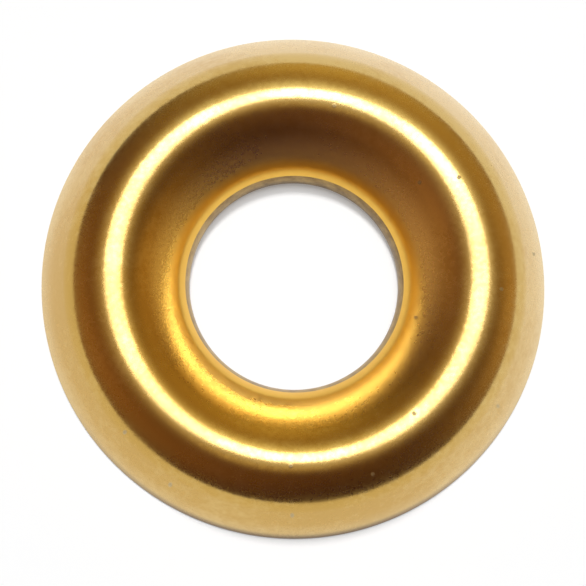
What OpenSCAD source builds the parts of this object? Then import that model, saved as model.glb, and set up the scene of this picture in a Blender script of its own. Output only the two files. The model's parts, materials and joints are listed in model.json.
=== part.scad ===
/* [Overall size] */
// outside diameter of the rim where it rests on the work, mm
outer_diameter = 14.3; // [13.6:0.1:14.8]
// height from the base to the top of the crest, mm
height = 2.2; // [2.1:0.05:2.4]
// thickness of the formed sheet, mm
sheet_thickness = 0.35; // [0.3:0.05:0.4]

/* [Screw hole] */
// diameter of the pierced screw hole, mm
hole_diameter = 5.9; // [5.6:0.1:6.3]
// height of the hole's lower edge above the base, mm
hole_edge_rise = 0.15; // [0:0.05:0.2]
// rounding where the seat turns down into the hole, mm
lip_radius = 0.3; // [0.1:0.05:0.35]

/* [Crest] */
// where the crest stands between the hole's edge (0) and the rim (1)
crest_ratio = 0.525; // [0.51:0.005:0.54]
// outside radius of the roll that runs round the crest, mm
crest_radius = 1.5; // [1.35:0.05:1.6]
// how far the roll turns over towards the hole before the seat begins, degrees
crest_turn = 39; // [36:1:40]

/* [Hidden] */
$fn = 180;

// how far neighbouring curves of the section run into each other, so that they join, mm
seam = 0.0001;

rim_radius = outer_diameter / 2;
hole_radius = hole_diameter / 2;

// centre of the crest roll in the section, as radius and height
roll_centre = [
  hole_radius + crest_ratio * (rim_radius - hole_radius),
  height - crest_radius
];
roll_inside = crest_radius - sheet_thickness;

// straight skirt: touches the roll, and its outer face ends at the rim
rim_reach = [rim_radius, 0] - roll_centre;
skirt_slope = asin(crest_radius / norm(rim_reach)) - atan2(rim_reach.y, rim_reach.x);
skirt_side = [sin(skirt_slope), cos(skirt_slope)];

// bellied seat: touches the roll, and its under face ends at the hole's lower edge
turn_side = [-sin(crest_turn), cos(crest_turn)];
seat_start = roll_centre + roll_inside * turn_side;
seat_chord = seat_start - [hole_radius, hole_edge_rise];
seat_inside = (seat_chord * seat_chord) / (2 * (turn_side * seat_chord));
seat_radius = seat_inside + sheet_thickness;
seat_centre = seat_start - seat_inside * turn_side;

// rounded lip: touches the seat's upper face and the hole's wall
lip_across = hole_radius + lip_radius - seat_centre.x;
lip_up = sqrt(pow(seat_radius - lip_radius, 2) - pow(lip_across, 2));
lip_centre = seat_centre + [lip_across, lip_up];
lip_side = [lip_across, lip_up] / (seat_radius - lip_radius);

// everything below one face of the sheet: the roll, the skirt and the seat, drawn
// inside the outer face by the given depth
module below_face(depth) {
  roll = crest_radius - depth;
  seat = seat_radius - depth - seam;
  translate(roll_centre) {
    circle(r = roll);
  }
  polygon([
    roll_centre,
    [roll_centre.x, 0],
    [rim_radius - depth / sin(skirt_slope), 0],
    roll_centre + (roll - seam) * skirt_side
  ]);
  intersection() {
    translate(seat_centre) {
      circle(r = seat);
    }
    polygon([
      roll_centre,
      roll_centre + 2 * roll * turn_side,
      [0, height],
      [0, 0],
      [roll_centre.x, 0]
    ]);
  }
}

// what the pierced hole and its rounded lip take away
module hole_cut() {
  square([hole_radius, height]);
  difference() {
    polygon([
      [0, lip_centre.y],
      lip_centre,
      lip_centre + 4 * lip_radius * lip_side,
      [0, lip_centre.y + 4 * lip_radius * lip_side.y]
    ]);
    translate(lip_centre) {
      circle(r = lip_radius + seam);
    }
  }
}

// section through one side of the washer
module section() {
  difference() {
    below_face(0);
    below_face(sheet_thickness);
    hole_cut();
    translate([0, -2 * crest_radius]) {
      square([rim_radius, 2 * crest_radius]);
    }
  }
}

// the whole washer: one piece of sheet turned round its axis
module cup_washer() {
  color([0.8, 0.6, 0.25]) {
    rotate_extrude() {
      section();
    }
  }
}

cup_washer();
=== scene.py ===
"""Looks of a pressed brass finishing cup washer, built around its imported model.

Lengths are in metres and angles in degrees, unless a name or a note says otherwise. The washer
stands on its rim on the floor, with its axis along +Z and the mouth of its seat up.
"""

import json
import logging
import math
from dataclasses import dataclass
from enum import Enum
from typing import Any

import bpy
from mathutils import Matrix, Quaternion, Vector


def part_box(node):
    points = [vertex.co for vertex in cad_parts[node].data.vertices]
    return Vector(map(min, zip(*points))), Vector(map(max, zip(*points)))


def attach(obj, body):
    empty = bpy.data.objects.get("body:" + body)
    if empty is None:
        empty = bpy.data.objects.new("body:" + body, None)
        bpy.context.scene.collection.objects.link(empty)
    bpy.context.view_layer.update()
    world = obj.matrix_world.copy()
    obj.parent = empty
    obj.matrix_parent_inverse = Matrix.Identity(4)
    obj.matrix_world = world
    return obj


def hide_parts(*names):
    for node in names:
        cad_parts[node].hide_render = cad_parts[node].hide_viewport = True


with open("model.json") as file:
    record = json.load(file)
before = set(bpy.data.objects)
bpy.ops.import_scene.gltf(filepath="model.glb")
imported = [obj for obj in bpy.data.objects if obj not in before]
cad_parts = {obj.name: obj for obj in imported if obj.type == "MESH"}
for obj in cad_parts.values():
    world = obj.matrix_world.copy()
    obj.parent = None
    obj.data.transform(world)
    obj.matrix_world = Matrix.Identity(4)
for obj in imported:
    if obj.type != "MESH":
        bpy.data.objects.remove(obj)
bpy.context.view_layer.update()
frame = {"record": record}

log = logging.getLogger("cup_washer")

MM = 0.001
PHOTO_WIDTH_PX = 586

# Soft noise seldom leaves this span.
NOISE_LOW = 0.3
NOISE_HIGH = 0.7

Point = tuple[float, float]
Triple = tuple[float, float, float]
Socket = bpy.types.NodeSocket


class Zone(Enum):
    """The faces of the sheet, each with a finish of its own."""

    FACE = 0
    CUT_EDGE = 1
    UNDERSIDE = 2


def arc(centre: Point, radius: float, start: float, end: float, steps: int) -> list[Point]:
    """Points along a circular arc.

    Args:
        centre: Middle of the circle.
        radius: Radius of the circle.
        start: Angle of the first point.
        end: Angle of the last point.
        steps: Number of equal steps between them.

    Returns:
        The points in order, both ends included.
    """
    angles = [math.radians(start + (end - start) * i / steps) for i in range(steps + 1)]
    return [(centre[0] + radius * math.cos(a), centre[1] + radius * math.sin(a)) for a in angles]


def leaning_way(side: float, forward: float) -> Vector:
    """Direction close to straight up.

    Args:
        side: How far it leans towards +X.
        forward: How far it leans towards +Y.

    Returns:
        The direction, one long.
    """
    return Vector((math.tan(math.radians(side)), math.tan(math.radians(forward)), 1.0)).normalized()


def compass_way(heading: float, rise: float) -> Vector:
    """Direction from the washer into the room.

    Args:
        heading: Compass angle, from +X towards +Y.
        rise: Angle above the floor.

    Returns:
        The direction, one long.
    """
    turn, lift = math.radians(heading), math.radians(rise)
    flat = math.cos(lift)
    return Vector((flat * math.cos(turn), flat * math.sin(turn), math.sin(lift)))


def upright_turn(back: Vector) -> Quaternion:
    """Turn of a camera or lamp that looks against a direction, with +Y up in its picture."""
    right = Vector((0.0, 1.0, 0.0)).cross(back).normalized()
    return Matrix((right, back.cross(right), back)).transposed().to_quaternion()


class ShaderNodes:
    """Short calls for laying out the nodes of one material or world."""

    def __init__(self, owner: bpy.types.Material | bpy.types.World) -> None:
        """Empties the owner's node tree and keeps it."""
        owner.use_nodes = True
        self.tree = owner.node_tree
        self.tree.nodes.clear()

    def add(self, kind: str, inputs: dict[str | int, Any] | None = None,
            **settings: Any) -> bpy.types.Node:
        """Adds one node.

        Args:
            kind: Type of the node, without its "ShaderNode" prefix.
            inputs: Values or output sockets for the node's inputs, by name or place.
            settings: Properties of the node itself.

        Returns:
            The new node.
        """
        node = self.tree.nodes.new("ShaderNode" + kind)
        for name, value in settings.items():
            setattr(node, name, value)
        for key, value in (inputs or {}).items():
            if isinstance(value, Socket):
                self.tree.links.new(value, node.inputs[key])
            else:
                node.inputs[key].default_value = value
        return node

    def math(self, operation: str, *values: Any) -> Socket:
        """Adds a Math node on the given values or sockets and returns its output."""
        return self.add("Math", dict(enumerate(values)), operation=operation).outputs[0]

    def vector(self, operation: str, *values: Any) -> Socket:
        """Adds a Vector Math node on the given vectors or sockets and returns its vector."""
        return self.add("VectorMath", dict(enumerate(values)), operation=operation).outputs["Vector"]

    def measure(self, operation: str, *values: Any) -> Socket:
        """Adds a Vector Math node on the given vectors or sockets and returns its number."""
        return self.add("VectorMath", dict(enumerate(values)), operation=operation).outputs["Value"]

    def scaled(self, vector: Any, factor: Any) -> Socket:
        """Returns a vector times a number, each given as a socket or a plain value."""
        return self.add("VectorMath", {0: vector, "Scale": factor}, operation="SCALE").outputs["Vector"]

    def stretch(self, value: Socket, low: float, high: float, to_low: float = 0.0,
                to_high: float = 1.0) -> Socket:
        """Maps a span of a value smoothly onto another span.

        Args:
            value: The socket to map.
            low: Lower end of the span that is read.
            high: Upper end of the span that is read.
            to_low: What the lower end becomes.
            to_high: What the upper end becomes.

        Returns:
            The mapped value.
        """
        spans = {"From Min": low, "From Max": high, "To Min": to_low, "To Max": to_high}
        node = self.add("MapRange", {**spans, "Value": value}, interpolation_type="SMOOTHSTEP")
        return node.outputs["Result"]

    def spread(self, noise: Socket, low: float, high: float) -> Socket:
        """Maps soft noise onto a span and returns the result."""
        return self.stretch(noise, NOISE_LOW, NOISE_HIGH, low, high)

    def blend(self, share: Any, first: Any, second: Any) -> Socket:
        """Mixes two colours, given as sockets or as plain colours.

        Args:
            share: How much of the second one shows.
            first: The colour where the share is 0.
            second: The colour where the share is 1.

        Returns:
            The mixed colour.
        """
        node = self.add("Mix", data_type="RGBA")
        sockets = [s for s in node.inputs if s.enabled]
        for socket, value in zip(sockets, (share, first, second)):
            if isinstance(value, Socket):
                self.tree.links.new(value, socket)
            else:
                socket.default_value = (*value, 1.0)
        return next(s for s in node.outputs if s.enabled)


@dataclass(frozen=True)
class Mottle:
    """Soft unevenness of one size.

    Attributes:
        size: Rough size of one lump, in mm.
        shift: How far it shifts the tone of the sheet, each way.
        depth: Depth of its lumps, in mm.
        detail: Number of finer layers.
    """

    size: float
    shift: float
    depth: float = 0.0
    detail: float = 2.0

    def noise(self, nodes: ShaderNodes, place: Socket) -> Socket:
        """Lays out the noise.

        Args:
            nodes: The material's nodes.
            place: Place on the sheet, in mm.

        Returns:
            Its strength, around one half.
        """
        inputs = {"Vector": place, "Scale": 1.0 / self.size, "Detail": self.detail}
        return nodes.add("TexNoise", inputs).outputs["Fac"]


@dataclass(frozen=True)
class Specks:
    """Small marks scattered over the sheet.

    Attributes:
        spacing: Rough distance between places where a speck may lie, in mm.
        size: Radius of a speck, in mm.
        empty: Share of those places that stay empty.
        depth: Height of a speck, in mm.
        paleness: Share of the rubbed colour on a speck.
        matt: How much rougher a speck is than the sheet.
    """

    spacing: float = 1.15
    size: float = 0.07
    empty: float = 0.82
    depth: float = 0.002
    paleness: float = 0.7
    matt: float = 0.45

    def spots(self, nodes: ShaderNodes, place: Socket) -> Socket:
        """Lays out the specks.

        Args:
            nodes: The material's nodes.
            place: Place on the sheet, in mm.

        Returns:
            1 on a speck and 0 beside it.
        """
        inputs = {"Vector": place, "Scale": 1.0 / self.spacing}
        cells = nodes.add("TexVoronoi", inputs, voronoi_dimensions="2D").outputs
        reach = self.size / self.spacing
        near = nodes.stretch(cells["Distance"], 0.5 * reach, reach, 1.0, 0.0)
        pick = nodes.add("SeparateColor", {0: cells["Color"]}).outputs[0]
        return nodes.math("MULTIPLY", near, nodes.math("GREATER_THAN", pick, self.empty))


@dataclass(frozen=True)
class Fade:
    """Strength of a mark that changes with a distance.

    Attributes:
        full: Distance at which it is strongest, in mm.
        gone: Distance at which it has faded away, in mm.
        share: Its greatest strength.
    """

    full: float
    gone: float
    share: float = 1.0

    def strength(self, nodes: ShaderNodes, distance: Socket) -> Socket:
        """Returns the strength at a distance in mm."""
        if self.full < self.gone:
            return nodes.stretch(distance, self.full, self.gone, self.share, 0.0)
        return nodes.stretch(distance, self.gone, self.full, 0.0, self.share)


NOWHERE = Fade(full=0.0, gone=1.0, share=0.0)


@dataclass(frozen=True)
class SheetMarks:
    """Sockets that say what lies at each point of the sheet, for the parts of one finish."""

    place: Socket
    radius: Socket
    patches: Socket
    peel: Socket
    grain: Socket
    speck: Socket
    lip: Socket


@dataclass(frozen=True)
class PressedBrass:
    """Brass sheet after pressing and tumbling.

    It is satin, with a fine grain, a gloss that the tool has drawn round the axis, slow changes
    of tone, a few specks and a paler crest. It also carries painted light: a painted shade
    across the sheet, a painted sheen paler towards the rim, a painted sheen that brightens the
    seat, and a painted shade line along the front of the rim.

    Attributes:
        name: Name of the material.
        tone: Colour of the sheet towards +X +Y, one end of the painted shade across it.
        lower_left_and_patch_tone: Colour towards -X -Y, the other end of that painted shade, and of
            darker patches.
        painted_shade_way: Direction along which the painted shade runs from one colour to the other.
        painted_shade_reach: How far from the axis the painted shade goes on, each way, in mm.
        patches: Large patches of tone and gloss.
        peel: Gentle unevenness under the grain.
        grain: Grain from tumbling.
        specks: Small pale marks.
        pale_tone: Pale colour of the painted sheen along the rim, of the crest and of the specks.
        painted_rim_sheen: Painted sheen, paler towards the rim, by radius.
        crest: Radius of the crest, in mm.
        pale_crest: Paler tone along the crest, by distance from it.
        seat_sheen_tone: Brighter colour of the lower seat, a painted sheen that strengthens the
            reflections round the hole.
        painted_seat_sheen: Strength of that painted sheen, by radius.
        edge_tone: Colour of the lip round the hole.
        lip: Strength of that colour, by radius.
        lip_matt: How much rougher the lip is than the sheet.
        rim_shade_tone: Colour of a painted shade line along the front of the rim.
        painted_rim_shade: Strength of that painted shade line, by radius.
        front: Where along the rim it lies, by distance in front of the axis.
        polished: Roughness of the smoothest patches.
        matt: Roughness of the dullest patches.
        grain_matt: How far the grain changes the roughness, each way.
        drawn: How much wider the gloss spreads round the axis than along the radius, 0 to 1.
    """

    name: str = "pressed_brass"
    tone: Triple = (0.67, 0.465, 0.165)
    lower_left_and_patch_tone: Triple = (0.58, 0.36, 0.088)
    painted_shade_way: Triple = (-0.7, -0.7, 0.0)
    painted_shade_reach: float = 6.5
    patches: Mottle = Mottle(size=2.6, shift=0.25, detail=3.0)
    peel: Mottle = Mottle(size=0.34, shift=0.2, depth=0.001)
    grain: Mottle = Mottle(size=0.13, shift=0.14, depth=0.0012)
    specks: Specks = Specks()
    pale_tone: Triple = (0.83, 0.71, 0.43)
    painted_rim_sheen: Fade = Fade(full=7.25, gone=6.75, share=0.4)
    crest: float = 5.15
    pale_crest: Fade = Fade(full=0.05, gone=0.5, share=0.24)
    seat_sheen_tone: Triple = (0.97, 0.77, 0.34)
    painted_seat_sheen: Fade = Fade(full=3.65, gone=4.25)
    edge_tone: Triple = (0.84, 0.51, 0.09)
    lip: Fade = Fade(full=3.3, gone=3.6)
    lip_matt: float = 0.14
    rim_shade_tone: Triple = (0.26, 0.18, 0.1)
    painted_rim_shade: Fade = Fade(full=7.13, gone=7.0)
    front: Fade = Fade(full=7.0, gone=2.5)
    polished: float = 0.23
    matt: float = 0.31
    grain_matt: float = 0.03
    drawn: float = 0.9

    def material(self) -> bpy.types.Material:
        """Builds the finish as a node material and returns it."""
        material = bpy.data.materials.new(self.name)
        nodes = ShaderNodes(material)
        marks = self.marks(nodes)
        shader = nodes.add("BsdfPrincipled", {
            "Base Color": self.colour(nodes, marks),
            "Metallic": 1.0,
            "Roughness": self.roughness(nodes, marks),
            "Anisotropic": self.drawn,
            "Tangent": nodes.add("Tangent", direction_type="RADIAL", axis="Z").outputs[0],
            "Normal": self.normal(nodes, marks),
        })
        nodes.add("OutputMaterial", {"Surface": shader.outputs["BSDF"]})
        return material

    def marks(self, nodes: ShaderNodes) -> SheetMarks:
        """Lays out the places and marks that the colour, the roughness and the bumps share."""
        place = nodes.scaled(nodes.add("TexCoord").outputs["Object"], 1.0 / MM)
        radius = nodes.measure("LENGTH", nodes.vector("MULTIPLY", place, (1.0, 1.0, 0.0)))
        return SheetMarks(
            place=place,
            radius=radius,
            patches=self.patches.noise(nodes, place),
            peel=self.peel.noise(nodes, place),
            grain=self.grain.noise(nodes, place),
            speck=self.specks.spots(nodes, place),
            lip=self.lip.strength(nodes, radius),
        )

    def colour(self, nodes: ShaderNodes, marks: SheetMarks) -> Socket:
        """Lays out the colour.

        Args:
            nodes: The material's nodes.
            marks: What lies where on the sheet.

        Returns:
            The base colour.
        """
        # Painted shade: the colour runs across the sheet from tone to the lower-left tone, and the
        # patches, peel and grain swing it about.
        along = nodes.measure("DOT_PRODUCT", marks.place, self.painted_shade_way)
        side_shade_and_patches = nodes.stretch(along, -self.painted_shade_reach, self.painted_shade_reach)
        for mottle, noise in ((self.patches, marks.patches), (self.peel, marks.peel),
                              (self.grain, marks.grain)):
            side_shade_and_patches = nodes.math("ADD", side_shade_and_patches, nodes.spread(noise, -mottle.shift, mottle.shift))

        # Paler towards the rim, a painted sheen, and paler along the crest.
        off_crest = nodes.math("ABSOLUTE", nodes.math("SUBTRACT", marks.radius, self.crest))
        rim_sheen_and_pale_crest = nodes.math("ADD", self.painted_rim_sheen.strength(nodes, marks.radius),
                            self.pale_crest.strength(nodes, off_crest))
        # Painted shade: a dark line along the front of the rim, where the floor lies in the washer's
        # shadow.
        forward = nodes.measure("DOT_PRODUCT", marks.place, (0.0, -1.0, 0.0))
        painted_rim_shade = nodes.math("MULTIPLY", self.painted_rim_shade.strength(nodes, marks.radius),
                          self.front.strength(nodes, forward))

        colour = nodes.blend(side_shade_and_patches, self.tone, self.lower_left_and_patch_tone)
        for share, tone in (
            (rim_sheen_and_pale_crest, self.pale_tone),
            # Painted sheen: a brighter seat that strengthens the reflections round the hole.
            (self.painted_seat_sheen.strength(nodes, marks.radius), self.seat_sheen_tone),
            (marks.lip, self.edge_tone),
            (painted_rim_shade, self.rim_shade_tone),
            (nodes.math("MULTIPLY", marks.speck, self.specks.paleness), self.pale_tone),
        ):
            colour = nodes.blend(share, colour, tone)
        return colour

    def roughness(self, nodes: ShaderNodes, marks: SheetMarks) -> Socket:
        """Lays out the roughness.

        Args:
            nodes: The material's nodes.
            marks: What lies where on the sheet.

        Returns:
            The roughness.
        """
        rough = nodes.spread(marks.patches, self.polished, self.matt)
        for change in (
            nodes.spread(marks.grain, -self.grain_matt, self.grain_matt),
            nodes.math("MULTIPLY", marks.lip, self.lip_matt),
            nodes.math("MULTIPLY", marks.speck, self.specks.matt),
        ):
            rough = nodes.math("ADD", rough, change)
        return rough

    def normal(self, nodes: ShaderNodes, marks: SheetMarks) -> Socket:
        """Lays out the bumps, one upon the other.

        Args:
            nodes: The material's nodes.
            marks: What lies where on the sheet.

        Returns:
            The bumped normal.
        """
        normal = None
        for height, depth in ((marks.peel, self.peel.depth), (marks.grain, self.grain.depth),
                              (marks.speck, self.specks.depth)):
            inputs = {"Height": height, "Distance": depth * MM}
            if normal is not None:
                inputs["Normal"] = normal
            normal = nodes.add("Bump", inputs).outputs["Normal"]
        return normal


@dataclass
class CupWasher:
    """The washer: one piece of sheet, turned round its axis from one section.

    Attributes:
        rim_radius: Radius of the rim on the floor.
        height: Height of the crest.
        hole_radius: Radius of the hole.
        sheet: Thickness of the sheet.
        hole_rise: Height of the hole's lower edge.
        lip_radius: Rounding where the seat turns down into the hole.
        cut_from: Angle on that rounding at which the sheared edge begins.
        crest_ratio: Where the crest stands between the hole's edge (0) and the rim (1).
        crest_radius: Outside radius of the roll along the crest.
        crest_turn: How far the roll turns over towards the hole before the seat begins.
        rim_round: Rounding of the rim's lower corner.
        crease: Angle between faces from which an edge is drawn sharp.
        segments: Steps round the axis.
        rim_steps: Steps round the rim's corner.
        crest_steps: Steps over the crest.
        seat_steps: Steps down the seat.
        lip_steps: Steps round the lip, down to the sheared edge.
        cut_steps: Steps round the rest of the lip.
        under_crest_steps: Steps over the crest, underneath.
        under_seat_steps: Steps down the seat, underneath.
    """

    rim_radius: float
    height: float
    hole_radius: float
    sheet: float = 0.35 * MM
    hole_rise: float = 0.15 * MM
    lip_radius: float = 1.25 * MM
    cut_from: float = 154.0
    crest_ratio: float = 0.525
    crest_radius: float = 1.5 * MM
    crest_turn: float = 39.0
    rim_round: float = 0.03 * MM
    crease: float = 25.0
    segments: int = 360
    rim_steps: int = 8
    crest_steps: int = 64
    seat_steps: int = 40
    lip_steps: int = 20
    cut_steps: int = 8
    under_crest_steps: int = 48
    under_seat_steps: int = 32

    node = "cup_washer"
    body = "root"
    slot = "brass"

    @classmethod
    def from_frame(cls) -> "CupWasher":
        """Takes the rim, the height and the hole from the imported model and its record."""
        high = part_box(cls.node)[1]
        mounts = {mount["name"]: mount for mount in frame["record"]["mounts"]}
        hole_radius = mounts["screw_hole"]["dims"]["r_mm"] * MM
        return cls(rim_radius=high.x, height=high.z, hole_radius=hole_radius)

    def section(self) -> list[tuple[Zone, list[Point]]]:
        """Draws the section through one side of the sheet.

        Returns:
            Runs of points as radius and height, each with its zone, that together go once round
            the section. The last point of a run is the first of the next.
        """
        inside = self.crest_radius - self.sheet
        crest = (
            self.hole_radius + self.crest_ratio * (self.rim_radius - self.hole_radius),
            self.height - self.crest_radius,
        )
        reach = (self.rim_radius - crest[0], -crest[1])
        slope = math.asin(self.crest_radius / math.hypot(*reach)) - math.atan2(reach[1], reach[0])
        skirt_side = 90.0 - math.degrees(slope)
        seat_side = 90.0 + self.crest_turn

        turn = math.radians(self.crest_turn)
        side = Vector((-math.sin(turn), math.cos(turn)))
        start = Vector(crest) + inside * side
        chord = start - Vector((self.hole_radius, self.hole_rise))
        seat_inside = chord.length_squared / (2.0 * side.dot(chord))
        seat_radius = seat_inside + self.sheet
        seat = start - seat_inside * side
        low = math.degrees(math.atan2(self.hole_rise - seat.y, self.hole_radius - seat.x))

        across = self.hole_radius + self.lip_radius - seat.x
        up = math.sqrt((seat_radius - self.lip_radius) ** 2 - across ** 2)
        lip = (seat.x + across, seat.y + up)
        touch = math.degrees(math.atan2(up, across))

        rim = (self.rim_radius - self.rim_round / math.tan(slope / 2.0), self.rim_round)
        foot = (self.rim_radius - self.sheet / math.sin(slope), 0.0)
        edge = (self.hole_radius, self.hole_rise)

        face = arc(rim, self.rim_round, -90.0, skirt_side, self.rim_steps)
        face += arc(crest, self.crest_radius, skirt_side, seat_side, self.crest_steps)
        face += arc(seat, seat_radius, seat_side, touch, self.seat_steps)[1:]
        face += arc(lip, self.lip_radius, touch, self.cut_from, self.lip_steps)[1:]
        wall = arc(lip, self.lip_radius, self.cut_from, 180.0, self.cut_steps) + [edge]
        underside = [edge]
        underside += arc(seat, seat_inside, low, seat_side, self.under_seat_steps)[1:]
        underside += arc(crest, inside, seat_side, skirt_side, self.under_crest_steps)[1:]
        underside.append(foot)
        return [
            (Zone.FACE, face),
            (Zone.CUT_EDGE, wall),
            (Zone.UNDERSIDE, underside),
            (Zone.CUT_EDGE, [foot, face[0]]),
        ]

    def build(self) -> bpy.types.Object:
        """Turns the section round the axis into a closed mesh and returns its object."""
        outline: list[Point] = []
        zones: list[Zone] = []
        for zone, run in self.section():
            outline += run[:-1]
            zones += [zone] * (len(run) - 1)
        count = len(outline)
        corners = []
        for i in range(self.segments):
            angle = 2.0 * math.pi * i / self.segments
            corners += [(r * math.cos(angle), r * math.sin(angle), z) for r, z in outline]
        faces = []
        for i in range(self.segments):
            here, there = i * count, (i + 1) % self.segments * count
            for k in range(count):
                after = (k + 1) % count
                faces.append((here + k, there + k, there + after, here + after))
        mesh = bpy.data.meshes.new(self.node)
        mesh.from_pydata(corners, [], faces)
        mesh.polygons.foreach_set("use_smooth", [True] * len(faces))
        mesh.polygons.foreach_set("material_index", [zone.value for zone in zones] * self.segments)
        mesh.set_sharp_from_angle(angle=math.radians(self.crease))
        mesh.update()
        piece = bpy.data.objects.new("washer_body", mesh)
        bpy.context.scene.collection.objects.link(piece)
        return piece

    def finishes(self) -> dict[Zone, PressedBrass]:
        """Returns the finish of each zone of the sheet."""
        return {
            Zone.FACE: PressedBrass(),
            # The sheared edge is painted dark as painted shade, darkest towards +X +Y at the far side
            # of the hole, which lies in shadow.
            Zone.CUT_EDGE: PressedBrass(
                name="sheared_brass_with_painted_shade", tone=(0.18, 0.11, 0.04), lower_left_and_patch_tone=(0.48, 0.33, 0.13),
                grain=Mottle(size=0.13, shift=0.14, depth=0.006), painted_seat_sheen=NOWHERE, lip=NOWHERE,
                polished=0.34, matt=0.46, drawn=0.3),
            Zone.UNDERSIDE: PressedBrass(
                name="inner_brass", grain=Mottle(size=0.13, shift=0.14, depth=0.002),
                painted_seat_sheen=NOWHERE, lip=NOWHERE, polished=0.26, matt=0.36, drawn=0.5),
        }

    def dress(self, piece: bpy.types.Object) -> None:
        """Gives the piece its finishes, in the order of the zones."""
        finishes = self.finishes()
        for zone in Zone:
            piece.data.materials.append(finishes[zone].material())

    def make(self) -> bpy.types.Object:
        """Builds and dresses the washer and puts it in the frame in place of its solid."""
        piece = self.build()
        self.dress(piece)
        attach(piece, self.body)
        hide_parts(self.node)
        return piece


@dataclass(frozen=True)
class Glow:
    """A soft patch of light on the walls or ceiling of the room.

    Attributes:
        heading: Compass angle of its middle, from +X towards +Y.
        rise: Angle of its middle above the floor.
        tightness: Power of the cosine by which it fades away from its middle.
        colour: Radiance at its middle.
    """

    heading: float
    rise: float
    tightness: float
    colour: Triple

    def patch(self, nodes: ShaderNodes, way: Socket) -> Socket:
        """Lays out the nodes of the patch.

        Args:
            nodes: The world's nodes.
            way: Direction in which the room is seen.

        Returns:
            The colour of the patch in that direction.
        """
        facing = nodes.measure("DOT_PRODUCT", way, compass_way(self.heading, self.rise))
        level = nodes.math("POWER", nodes.math("MAXIMUM", facing, 0.0), self.tightness)
        return nodes.scaled(self.colour, level)


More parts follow.
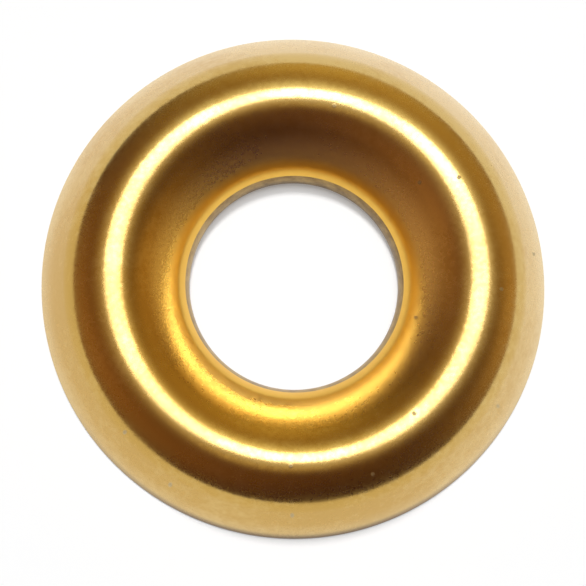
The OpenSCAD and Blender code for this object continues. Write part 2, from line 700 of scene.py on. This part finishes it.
@dataclass
class Studio:
    """A white floor in a dim warm room, with a soft lamp overhead and a light for the floor.

    Attributes:
        floor_side: Side of the floor.
        floor_drop: How far the floor lies under the washer.
        floor_tone: Whiteness of the floor.
        floor_glow: Share of plain white in the floor as it is seen.
        fill: Soft light on the floor from all over the ceiling.
        side_heading: Compass angle of the floor's own light.
        side_rise: Its angle above the floor.
        side_width: Its width, as an angle.
        side_level: Its strength, where 1 makes a white floor white.
        lamp_height: Distance of the lamp from the washer.
        lamp_lean: How far the lamp leans towards +Y.
        lamp_side: How far it leans towards +X.
        lamp_half_width: Half its width, as an angle.
        lamp_half_depth: Half its depth, as an angle.
        lamp_radiance: Its brightness.
        room_tone: Colour of the room between the glows.
        glows: Patches of light in the room.
    """

    floor_side: float = 4.0
    floor_drop: float = 0.01 * MM
    floor_tone: float = 0.97
    floor_glow: float = 0.25
    fill: Glow = Glow(heading=100.0, rise=75.0, tightness=5.0, colour=(0.35, 0.35, 0.35))
    side_heading: float = 94.0
    side_rise: float = 62.0
    side_width: float = 10.0
    side_level: float = 0.66
    lamp_height: float = 0.6
    lamp_lean: float = 13.5
    lamp_side: float = 3.0
    lamp_half_width: float = 20.0
    lamp_half_depth: float = 10.0
    lamp_radiance: float = 6.0
    room_tone: Triple = (0.07, 0.035, 0.042)
    glows: tuple[Glow, ...] = (
        Glow(heading=80.0, rise=69.0, tightness=20.0, colour=(1.45, 1.55, 1.1)),
        Glow(heading=25.0, rise=68.0, tightness=25.0, colour=(0.65, 0.6, 0.45)),
        Glow(heading=160.0, rise=69.0, tightness=25.0, colour=(0.5, 0.45, 0.3)),
        Glow(heading=255.0, rise=80.0, tightness=120.0, colour=(0.7, 0.55, 0.16)),
        Glow(heading=65.0, rise=30.0, tightness=3.0, colour=(0.36, 0.24, 0.04)),
        Glow(heading=85.0, rise=6.0, tightness=8.0, colour=(0.4, 0.34, 0.11)),
        Glow(heading=0.0, rise=12.0, tightness=8.0, colour=(0.48, 0.31, 0.08)),
        Glow(heading=180.0, rise=12.0, tightness=8.0, colour=(0.24, 0.15, 0.06)),
        Glow(heading=205.0, rise=40.0, tightness=4.0, colour=(0.22, 0.11, 0.03)),
    )

    def background_rays(self, nodes: ShaderNodes) -> Socket:
        """Returns 1 for rays from the camera or off metal and glass, and 0 for the rest."""
        rays = nodes.add("LightPath").outputs
        seen = nodes.math("MAXIMUM", rays["Is Camera Ray"], rays["Is Glossy Ray"])
        return nodes.math("MAXIMUM", seen, rays["Is Transmission Ray"])

    def white_floor(self) -> bpy.types.Material:
        """Builds the floor's material, which keeps the object's shadow, and returns it."""
        material = bpy.data.materials.new("white_floor")
        nodes = ShaderNodes(material)
        paper = nodes.add("BsdfDiffuse", {"Color": (*[self.floor_tone] * 3, 1.0)})
        glow = nodes.add("Emission", {"Strength": 1.0})
        share = nodes.math("MULTIPLY", self.background_rays(nodes), self.floor_glow)
        mix = nodes.add("MixShader", {0: share, 1: paper.outputs[0], 2: glow.outputs[0]})
        nodes.add("OutputMaterial", {"Surface": mix.outputs[0]})
        return material

    def floor(self) -> bpy.types.Object:
        """Lays the floor and returns it."""
        half = self.floor_side / 2.0
        corners = [(-half, -half, 0), (half, -half, 0), (half, half, 0), (-half, half, 0)]
        mesh = bpy.data.meshes.new("floor")
        mesh.from_pydata(corners, [], [(0, 1, 2, 3)])
        mesh.materials.append(self.white_floor())
        plane = bpy.data.objects.new("floor", mesh)
        plane.location.z = -self.floor_drop
        bpy.context.scene.collection.objects.link(plane)
        return plane

    def hang(self, light: bpy.types.Light, away: Vector) -> bpy.types.Object:
        """Hangs a light so that it faces the washer.

        Args:
            light: The light.
            away: Direction from the washer to the light.

        Returns:
            The light's object.
        """
        hung = bpy.data.objects.new(light.name, light)
        hung.location = away * self.lamp_height
        hung.rotation_mode = "QUATERNION"
        hung.rotation_quaternion = upright_turn(away)
        bpy.context.scene.collection.objects.link(hung)
        return hung

    def lamp(self) -> bpy.types.Object:
        """Hangs an oval soft box over the washer and returns it."""
        light = bpy.data.lights.new("overhead_lamp", "AREA")
        light.shape = "ELLIPSE"
        light.size = 2.0 * self.lamp_height * math.tan(math.radians(self.lamp_half_width))
        light.size_y = 2.0 * self.lamp_height * math.tan(math.radians(self.lamp_half_depth))
        area = math.pi / 4.0 * light.size * light.size_y
        light.energy = self.lamp_radiance * math.pi * area
        return self.hang(light, leaning_way(self.lamp_side, self.lamp_lean))

    def side_light(self) -> bpy.types.Object:
        """Adds a far light for the floor and its shadow, which doesn't show in the metal."""
        light = bpy.data.lights.new("side_light", "SUN")
        light.angle = math.radians(self.side_width)
        light.energy = self.side_level * math.pi
        far = self.hang(light, compass_way(self.side_heading, self.side_rise))
        far.visible_glossy = False
        return far

    def room(self) -> None:
        """Sets the world: a dim room that metal reflects, and a soft white fill for the floor."""
        world = bpy.data.worlds.new("studio_room")
        bpy.context.scene.world = world
        nodes = ShaderNodes(world)
        way = nodes.add("TexCoord").outputs["Generated"]
        walls = nodes.add("CombineXYZ", dict(enumerate(self.room_tone))).outputs[0]
        for glow in self.glows:
            walls = nodes.vector("ADD", walls, glow.patch(nodes, way))
        seen = nodes.add("Background", {"Color": walls})
        even = nodes.add("Background", {"Color": self.fill.patch(nodes, way)})
        share = self.background_rays(nodes)
        mix = nodes.add("MixShader", {0: share, 1: even.outputs[0], 2: seen.outputs[0]})
        nodes.add("OutputWorld", {"Surface": mix.outputs[0]})

    def build(self) -> None:
        """Builds the floor, the two lights and the room."""
        self.floor()
        self.lamp()
        self.side_light()
        self.room()
        bpy.context.scene.view_settings.view_transform = "Standard"


@dataclass
class ViewCamera:
    """A long lens that looks down on the washer from a little in front.

    Attributes:
        tilt: How far the camera leans towards -Y from straight above.
        lean: How far it leans towards +X.
        distance: Distance from the point that it looks at.
        aim: That point.
        rim_radius_px: Radius of the rim in the picture, in pixels.
        sensor: Width of the sensor, in mm.
    """

    tilt: float = 7.3
    lean: float = -2.3
    distance: float = 100.0 * MM
    aim: Triple = (-0.017 * MM, -0.169 * MM, 0.0)
    rim_radius_px: float = 252.2
    sensor: float = 36.0

    def build(self, rim_radius: float) -> bpy.types.Object:
        """Places the camera and makes it the scene's.

        Args:
            rim_radius: Real radius that spans rim_radius_px in the picture.

        Returns:
            The camera object.
        """
        camera = bpy.data.cameras.new("view_camera")
        half_view = rim_radius * (PHOTO_WIDTH_PX / 2.0) / self.rim_radius_px
        camera.sensor_width = self.sensor
        camera.lens = self.sensor / 2.0 * self.distance / half_view
        camera.clip_start = MM
        placed = bpy.data.objects.new("view_camera", camera)
        back = leaning_way(self.lean, -self.tilt)
        placed.location = Vector(self.aim) + back * self.distance
        placed.rotation_mode = "QUATERNION"
        placed.rotation_quaternion = upright_turn(back)
        bpy.context.scene.collection.objects.link(placed)
        bpy.context.scene.camera = placed
        return placed


def main() -> None:
    """Builds the washer, the studio and the camera, in that order."""
    logging.basicConfig(level=logging.INFO, format="%(name)s: %(message)s")
    washer = CupWasher.from_frame()
    piece = washer.make()
    log.info("%s: %d faces", piece.name, len(piece.data.polygons))
    Studio().build()
    log.info("studio built")
    camera = ViewCamera().build(washer.rim_radius)
    log.info("%s: lens %.1f mm", camera.name, camera.data.lens)


if __name__ == "__main__":
    main()
